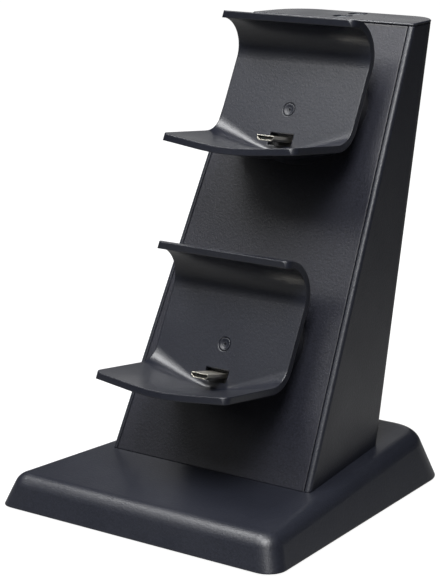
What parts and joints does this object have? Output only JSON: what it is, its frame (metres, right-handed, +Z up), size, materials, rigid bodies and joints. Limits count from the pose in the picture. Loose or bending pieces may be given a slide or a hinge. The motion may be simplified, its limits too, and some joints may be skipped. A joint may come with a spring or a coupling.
{
  "type": "controller charging dock",
  "caption": "Upright dock with a tapered base, a tower that leans back and stacked C-shaped cradles, each with a micro-USB plug that charges a game controller.",
  "frame": {"origin": "under the middle of the dock's bounding box, on the plane that its rubber feet stand on", "axes": "+Z up, the cradles face -Y, +X to the right as seen from the front"},
  "size_m": [0.1126, 0.1308, 0.1583],
  "materials": {
    "housing": "fine matte mould texture",
    "underside": "matte",
    "panel": "fine matte mould texture",
    "cap": "fine matte mould texture",
    "cradle": "smooth satin",
    "pedestal": "satin",
    "rubber": "matte",
    "steel": "zinc plated",
    "dark_screw": "black oxide",
    "nickel": "nickel plated",
    "contact_block": "matte",
    "board": "solder mask",
    "lens": "frosted",
    "led": "moulded"
  },
  "bodies": {
    "root": {"ballast_plate": "steel", "base_screw_back_left": "steel", "base_screw_back_right": "steel", "base_screw_front_left": "steel", "base_screw_front_right": "steel", "base_shell": "housing", "bottom_plate": "underside", "charge_board": "board", "foot_back_left": "rubber", "foot_back_right": "rubber", "foot_front_left": "rubber", "foot_front_right": "rubber", "front_panel": "panel", "indicator_board": "board", "light_led_back": "led", "light_led_front": "led", "light_lens_back": "lens", "light_lens_front": "lens", "lower_cradle": "cradle", "lower_cradle_screw": "dark_screw", "lower_pedestal": "pedestal", "lower_plug_holder": "contact_block", "lower_plug_shell": "nickel", "lower_plug_tongue": "contact_block", "power_inlet": "nickel", "top_cap": "cap", "tower_screw_left": "steel", "tower_screw_right": "steel", "tower_shell": "housing", "upper_cradle": "cradle", "upper_cradle_screw": "dark_screw", "upper_pedestal": "pedestal", "upper_plug_holder": "contact_block", "upper_plug_shell": "nickel", "upper_plug_tongue": "contact_block"}
  },
  "joints": []
}
